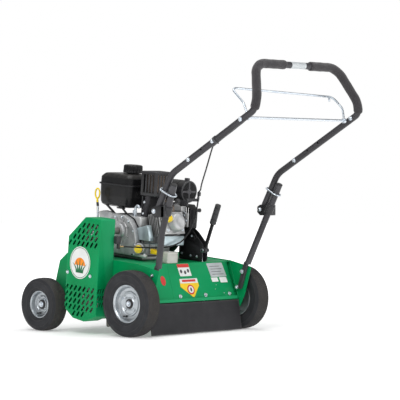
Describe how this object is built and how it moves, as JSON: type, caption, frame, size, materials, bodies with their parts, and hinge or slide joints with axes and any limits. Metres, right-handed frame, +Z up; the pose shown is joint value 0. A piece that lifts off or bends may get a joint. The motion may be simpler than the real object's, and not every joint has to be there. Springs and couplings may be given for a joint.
{
  "type": "lawn dethatcher",
  "caption": "Walk-behind petrol lawn dethatcher: a flail rotor under a steel deck, belt-driven by a small engine, on a height-adjustable rear axle with a folding handle.",
  "frame": {"origin": "on the ground under the middle of the bounding box", "axes": "+Z up, +Y the way the machine is pushed, +X its right-hand side"},
  "size_m": [0.7, 1.256, 1.0579],
  "materials": {
    "green_paint": "gloss enamel",
    "black_paint": "satin",
    "charcoal_paint": "semi gloss powder coat",
    "tyre_rubber": "ribbed",
    "rubber": "matt",
    "foam": "closed-cell foam",
    "zinc": "bright zinc plate",
    "aluminium": "cast",
    "steel": "worn",
    "black_plastic": "gloss",
    "matt_plastic": "textured",
    "yellow_plastic": "satin",
    "white_plastic": "satin"
  },
  "bodies": {
    "chassis": {"deck_top": "green_paint", "deck_side_left": "green_paint", "deck_side_right": "green_paint", "belt_guard": "green_paint", "front_axle": "black_paint", "lever_bracket": "black_paint", "muffler_guard": "black_paint", "lower_tube_left": "charcoal_paint", "lower_tube_right": "charcoal_paint", "drive_belt": "rubber", "spark_plug_boot": "rubber", "starter_rope": "rubber", "heat_shield": "zinc", "crankcase": "aluminium", "crankcase_cover": "aluminium", "cylinder": "aluminium", "cylinder_head": "aluminium", "carburettor": "aluminium", "muffler": "steel", "fuel_tank": "black_plastic", "blower_housing": "black_plastic", "recoil_starter": "black_plastic", "cable_lower": "black_plastic", "cable_span": "black_plastic", "air_cleaner": "matt_plastic", "oil_fill_plug": "yellow_plastic", "oil_drain_plug": "yellow_plastic", "filter_box": "white_plastic"},
    "rotor_set": {"rotor": "steel", "driven_pulley": "steel"},
    "flails_1": {"flail_row_1": "steel"},
    "flails_2": {"flail_row_2": "steel"},
    "flails_3": {"flail_row_3": "steel"},
    "flails_4": {"flail_row_4": "steel"},
    "crank_set": {"crankshaft": "steel", "drive_pulley": "steel"},
    "idler_lever": {"idler_arm": "black_paint"},
    "idler_wheel": {"idler_pulley": "steel"},
    "rear_axle_set": {"rear_axle": "black_paint"},
    "rear_wheel_left": {"rear_left_tyre": "tyre_rubber", "rear_left_rim": "zinc"},
    "rear_wheel_right": {"rear_right_tyre": "tyre_rubber", "rear_right_rim": "zinc"},
    "front_wheel_left": {"front_left_tyre": "tyre_rubber", "front_left_rim": "zinc"},
    "front_wheel_right": {"front_right_tyre": "tyre_rubber", "front_right_rim": "zinc"},
    "depth_control": {"depth_lever": "black_paint"},
    "lift_rod": {"lift_link": "zinc"},
    "flap": {"rubber_flap": "rubber"},
    "handle": {"upper_handle": "charcoal_paint", "foam_grip_left": "foam", "foam_grip_right": "foam", "cable_upper": "black_plastic"},
    "bail_bar": {"bail": "zinc"},
    "ring_left": {"lock_ring_left": "zinc"},
    "ring_right": {"lock_ring_right": "zinc"},
    "starter_handle": {"starter_grip": "matt_plastic"},
    "tank_cap": {"fuel_cap": "black_plastic"},
    "oil_stick": {"dipstick": "yellow_plastic"}
  },
  "joints": [
    {"name": "rear_axle_lift", "type": "hinge", "parent": "chassis", "child": "rear_axle_set", "pos_m": [0, 0.10375, 0.1163], "axis": [1, 0, 0], "range_deg": [0, 28]},
    {"name": "depth_lever_swing", "type": "hinge", "parent": "chassis", "child": "depth_control", "pos_m": [0.115, 0.0343, 0.32504], "axis": [1, 0, 0], "range_deg": [-47, 0]},
    {"name": "lift_link_swing", "type": "hinge", "parent": "depth_control", "child": "lift_rod", "pos_m": [0.1207, 0.06066, 0.33936], "axis": [1, 0, 0], "range_deg": [0, 47]},
    {"name": "rear_wheel_left_spin", "type": "hinge", "parent": "rear_axle_set", "child": "rear_wheel_left", "pos_m": [-0.314, 0.0195, 0.13], "axis": [1, 0, 0], "continuous": true},
    {"name": "front_wheel_left_spin", "type": "hinge", "parent": "chassis", "child": "front_wheel_left", "pos_m": [-0.314, 0.5215, 0.107], "axis": [1, 0, 0], "continuous": true},
    {"name": "rear_wheel_right_spin", "type": "hinge", "parent": "rear_axle_set", "child": "rear_wheel_right", "pos_m": [0.314, 0.0195, 0.13], "axis": [1, 0, 0], "continuous": true},
    {"name": "front_wheel_right_spin", "type": "hinge", "parent": "chassis", "child": "front_wheel_right", "pos_m": [0.314, 0.5215, 0.107], "axis": [1, 0, 0], "continuous": true},
    {"name": "rotor_spin", "type": "hinge", "parent": "chassis", "child": "rotor_set", "pos_m": [0, 0.25413, 0.12996], "axis": [1, 0, 0], "continuous": true},
    {"name": "crank_spin", "type": "hinge", "parent": "chassis", "child": "crank_set", "pos_m": [0, 0.24108, 0.40537], "axis": [1, 0, 0], "continuous": true},
    {"name": "flails_1_swing", "type": "hinge", "parent": "rotor_set", "child": "flails_1", "pos_m": [0, 0.29656, 0.17239], "axis": [1, 0, 0], "range_deg": [-5, 150]},
    {"name": "flails_2_swing", "type": "hinge", "parent": "rotor_set", "child": "flails_2", "pos_m": [0, 0.21171, 0.17239], "axis": [1, 0, 0], "range_deg": [-150, 5]},
    {"name": "flails_3_swing", "type": "hinge", "parent": "rotor_set", "child": "flails_3", "pos_m": [0, 0.21171, 0.08753], "axis": [1, 0, 0], "range_deg": [-90, 60]},
    {"name": "flails_4_swing", "type": "hinge", "parent": "rotor_set", "child": "flails_4", "pos_m": [0, 0.29656, 0.08753], "axis": [1, 0, 0], "range_deg": [-60, 90]},
    {"name": "idler_arm_swing", "type": "hinge", "parent": "chassis", "child": "idler_lever", "pos_m": [-0.288, 0.32188, 0.36526], "axis": [1, 0, 0], "range_deg": [-3, 0]},
    {"name": "idler_wheel_spin", "type": "hinge", "parent": "idler_lever", "child": "idler_wheel", "pos_m": [-0.305, 0.32215, 0.28197], "axis": [1, 0, 0], "continuous": true},
    {"name": "flap_swing", "type": "hinge", "parent": "chassis", "child": "flap", "pos_m": [0, -0.0189, 0.12414], "axis": [1, 0, 0], "range_deg": [-40, 8], "stiffness_Nm_per_rad": 3},
    {"name": "handle_fold", "type": "hinge", "parent": "chassis", "child": "handle", "pos_m": [0, -0.111, 0.489], "axis": [1, 0, 0], "range_deg": [-125, 0], "deforming": ["cable_span", "lock_ring_left", "lock_ring_right"]},
    {"name": "bail_swing", "type": "hinge", "parent": "handle", "child": "bail_bar", "pos_m": [0, -0.5545, 0.838], "axis": [1, 0, 0], "range_deg": [0, 38], "stiffness_Nm_per_rad": 0.6},
    {"name": "lock_ring_left_slide", "type": "slide", "parent": "handle", "child": "ring_left", "axis": [0, -0.4811, 0.8767], "range_m": [0, 0.05]},
    {"name": "lock_ring_right_slide", "type": "slide", "parent": "handle", "child": "ring_right", "axis": [0, -0.4811, 0.8767], "range_m": [0, 0.05]},
    {"name": "starter_pull", "type": "slide", "parent": "chassis", "child": "starter_handle", "axis": [0, -0.766, 0.6428], "range_m": [0, 0.45], "stiffness_N_per_m": 20, "deforming": ["starter_rope"]},
    {"name": "fuel_cap_turn", "type": "hinge", "parent": "chassis", "child": "tank_cap", "pos_m": [-0.022, 0.30612, 0.63722], "axis": [0, -0.0872, 0.9962], "range_deg": [0, 120]},
    {"name": "dipstick_pull", "type": "slide", "parent": "chassis", "child": "oil_stick", "axis": [0, -0.0872, 0.9962], "range_m": [0, 0.12]}
  ],
  "couplings": [
    {"joint": "depth_lever_swing", "follows": "rear_axle_lift", "ratio": -1.6786},
    {"joint": "lift_link_swing", "follows": "rear_axle_lift", "ratio": 1.6786},
    {"joint": "crank_spin", "follows": "rotor_spin", "ratio": 1.1905},
    {"joint": "idler_arm_swing", "follows": "bail_swing", "ratio": -0.078947}
  ]
}
